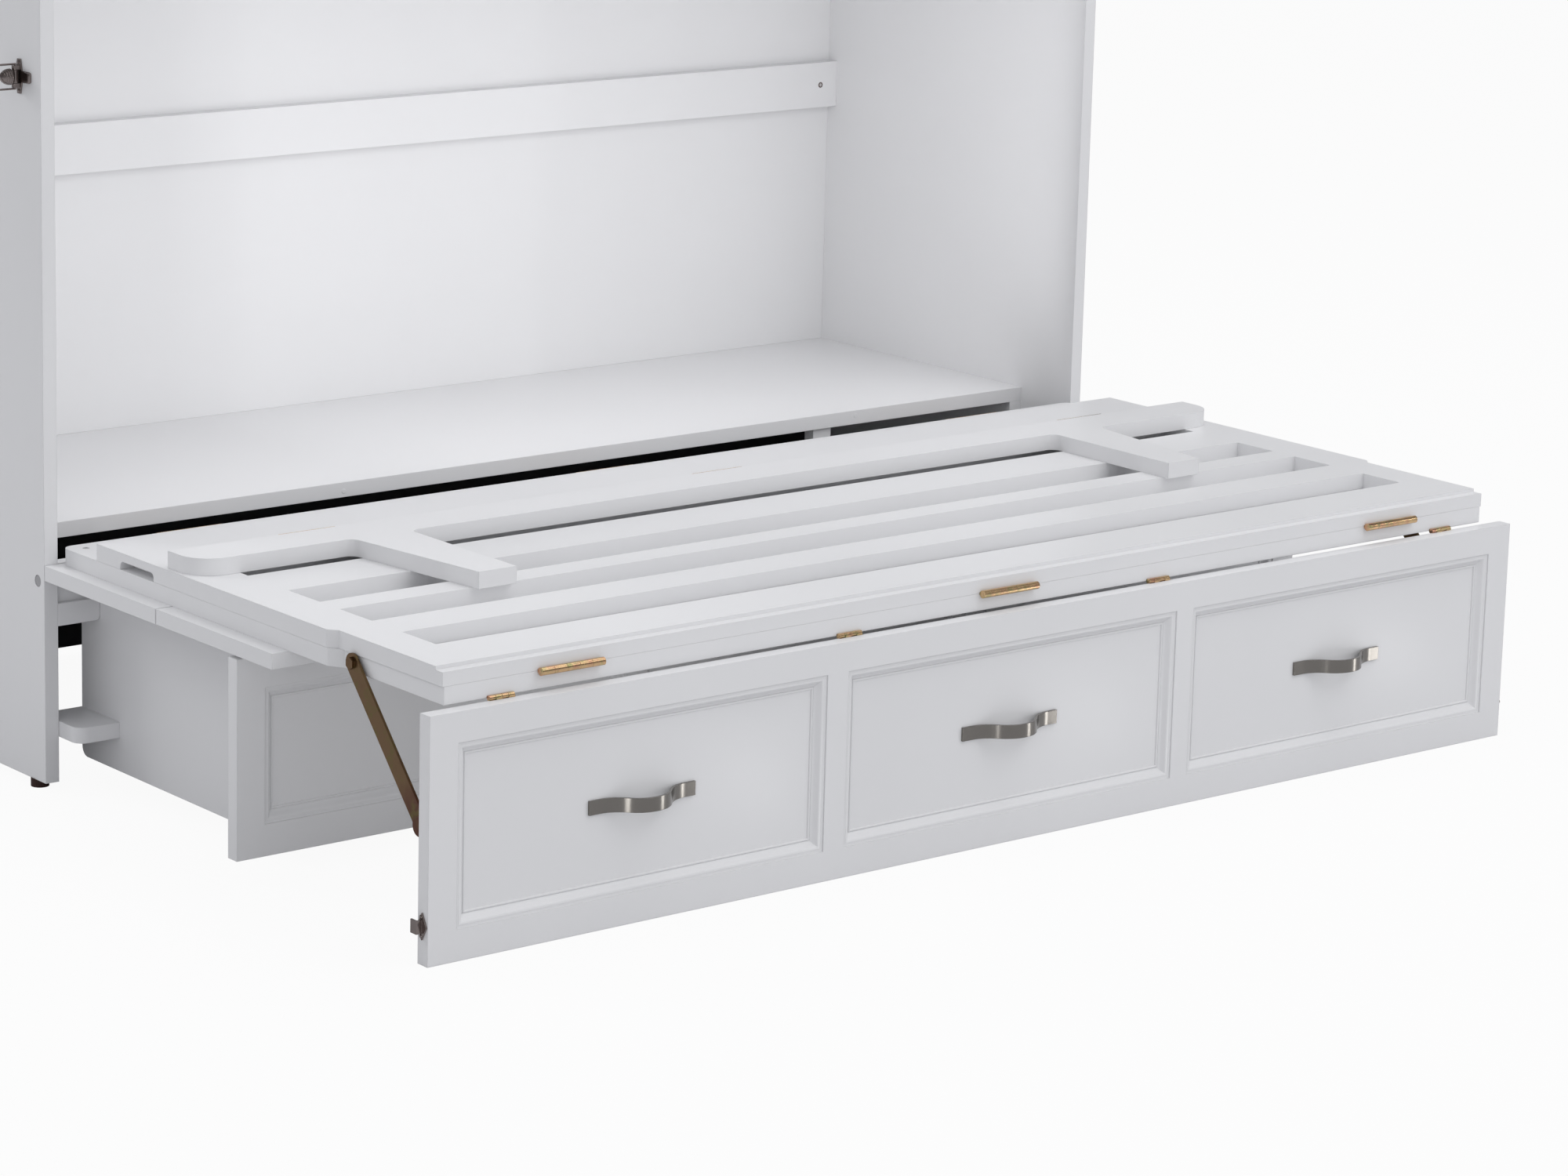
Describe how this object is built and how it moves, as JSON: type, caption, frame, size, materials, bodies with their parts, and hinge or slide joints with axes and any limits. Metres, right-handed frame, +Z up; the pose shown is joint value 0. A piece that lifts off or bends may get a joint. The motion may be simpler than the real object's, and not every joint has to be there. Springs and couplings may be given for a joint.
{
  "type": "cabinet bed",
  "caption": "White painted chest whose front folds down into a slatted bed with hanging front panel, folding leg frame and wide drawer.",
  "frame": {"origin": "on the floor, under the middle of the box that holds the whole bed as pictured; the chest's front edges are at y = 0.1255 m", "axes": "+X to the right seen from the front, -Y out into the room, +Z up"},
  "size_m": [1.7054, 1.353, 1.081],
  "materials": {
    "white_paint": "satin white paint",
    "black_board": "matt black board",
    "zinc_hinge": "yellow zinc plated steel",
    "zinc_strap": "yellow zinc plated flat steel, darker",
    "brushed_nickel": "brushed nickel",
    "dark_nickel": "dark polished nickel",
    "bolt_steel": "plated steel",
    "dark_foot": "matt",
    "caster_plastic": "matt"
  },
  "bodies": {
    "cabinet": {"side_left": "white_paint", "side_right": "white_paint", "guide_block_left": "white_paint", "guide_block_right": "white_paint", "platform_cleat_left": "white_paint", "platform_cleat_right": "white_paint", "platform_block": "white_paint", "rail_bolts": "bolt_steel", "levellers": "dark_foot", "top_panel": "white_paint", "back_lower": "black_board", "back_upper": "white_paint", "back_cleat": "white_paint", "platform": "white_paint", "cross_rail": "white_paint", "deck_hinge_fixed": "zinc_hinge", "latch_base_left": "dark_nickel", "latch_base_right": "dark_nickel"},
    "deck": {"deck": "white_paint", "deck_hinge_moving": "zinc_hinge", "facade_board_lower": "white_paint", "facade_board_upper": "white_paint", "fold_hinge_deck": "zinc_hinge", "panel_hinge_deck": "zinc_hinge"},
    "panel": {"front_panel": "white_paint", "panel_hinge_panel": "zinc_hinge", "pull_left": "brushed_nickel", "pull_middle": "brushed_nickel", "pull_right": "brushed_nickel", "stay_bracket_left": "zinc_strap", "stay_bracket_right": "zinc_strap", "keeper_left": "dark_nickel", "keeper_right": "dark_nickel"},
    "stay_left": {"stay_left": "zinc_strap"},
    "stay_right": {"stay_right": "zinc_strap"},
    "section": {"section": "white_paint", "fold_hinge_section": "zinc_hinge", "leg_hinge_section": "zinc_hinge"},
    "legs": {"leg_frame": "white_paint", "leg_hinge_leg": "zinc_hinge"},
    "drawer": {"drawer_front": "white_paint", "drawer_side_left": "white_paint", "drawer_side_right": "white_paint", "outrigger_left": "white_paint", "outrigger_right": "white_paint", "drawer_back": "white_paint", "drawer_bottom": "white_paint", "caster_forks": "bolt_steel"},
    "latch_lever_left": {"latch_lever_left": "dark_nickel"},
    "latch_lever_right": {"latch_lever_right": "dark_nickel"},
    "latch_loop_left": {"latch_loop_left": "dark_nickel"},
    "latch_loop_right": {"latch_loop_right": "dark_nickel"},
    "wheel_left_front": {"wheel_left_front": "caster_plastic"},
    "wheel_left_rear": {"wheel_left_rear": "caster_plastic"},
    "wheel_right_front": {"wheel_right_front": "caster_plastic"},
    "wheel_right_rear": {"wheel_right_rear": "caster_plastic"}
  },
  "joints": [
    {"name": "deck_fold", "type": "hinge", "parent": "cabinet", "child": "deck", "pos_m": [0, 0.1295, 0.279], "axis": [1, 0, 0], "range_deg": [-90, 0]},
    {"name": "panel_hang", "type": "hinge", "parent": "deck", "child": "panel", "pos_m": [0, -0.6377, 0.274], "axis": [1, 0, 0], "range_deg": [0, 90]},
    {"name": "stay_left_swing", "type": "hinge", "parent": "panel", "child": "stay_left", "pos_m": [-0.7915, -0.6065, 0.137], "axis": [1, 0, 0], "range_deg": [-34.1, 0]},
    {"name": "stay_right_swing", "type": "hinge", "parent": "panel", "child": "stay_right", "pos_m": [0.7915, -0.6065, 0.137], "axis": [1, 0, 0], "range_deg": [-34.1, 0]},
    {"name": "section_fold", "type": "hinge", "parent": "deck", "child": "section", "pos_m": [0, -0.6405, 0.294], "axis": [1, 0, 0], "range_deg": [0, 180]},
    {"name": "leg_fold", "type": "hinge", "parent": "section", "child": "legs", "pos_m": [0, -0.1015, 0.314], "axis": [-1, 0, 0], "range_deg": [0, 90]},
    {"name": "drawer_slide", "type": "slide", "parent": "cabinet", "child": "drawer", "axis": [0, -1, 0], "range_m": [-0.396, 0]},
    {"name": "latch_lever_left_turn", "type": "hinge", "parent": "cabinet", "child": "latch_lever_left", "pos_m": [-0.8255, 0.1715, 0.843], "axis": [0, 0, 1], "range_deg": [-85, 0]},
    {"name": "latch_loop_left_turn", "type": "hinge", "parent": "cabinet", "child": "latch_loop_left", "pos_m": [-0.8255, 0.1715, 0.843], "axis": [0, 0, -1], "range_deg": [-85, 0]},
    {"name": "wheel_left_front_spin", "type": "hinge", "parent": "drawer", "child": "wheel_left_front", "pos_m": [-0.64, -0.2095, 0.025], "axis": [1, 0, 0], "continuous": true},
    {"name": "wheel_left_rear_spin", "type": "hinge", "parent": "drawer", "child": "wheel_left_rear", "pos_m": [-0.64, 0.1055, 0.025], "axis": [1, 0, 0], "continuous": true},
    {"name": "latch_lever_right_turn", "type": "hinge", "parent": "cabinet", "child": "latch_lever_right", "pos_m": [0.8255, 0.1715, 0.843], "axis": [0, 0, -1], "range_deg": [-85, 0]},
    {"name": "latch_loop_right_turn", "type": "hinge", "parent": "cabinet", "child": "latch_loop_right", "pos_m": [0.8255, 0.1715, 0.843], "axis": [0, 0, 1], "range_deg": [-85, 0]},
    {"name": "wheel_right_front_spin", "type": "hinge", "parent": "drawer", "child": "wheel_right_front", "pos_m": [0.64, -0.2095, 0.025], "axis": [1, 0, 0], "continuous": true},
    {"name": "wheel_right_rear_spin", "type": "hinge", "parent": "drawer", "child": "wheel_right_rear", "pos_m": [0.64, 0.1055, 0.025], "axis": [1, 0, 0], "continuous": true}
  ],
  "couplings": [
    {"joint": "panel_hang", "follows": "deck_fold", "ratio": -1},
    {"joint": "stay_left_swing", "follows": "deck_fold", "ratio": 0.378},
    {"joint": "stay_right_swing", "follows": "deck_fold", "ratio": 0.378}
  ]
}
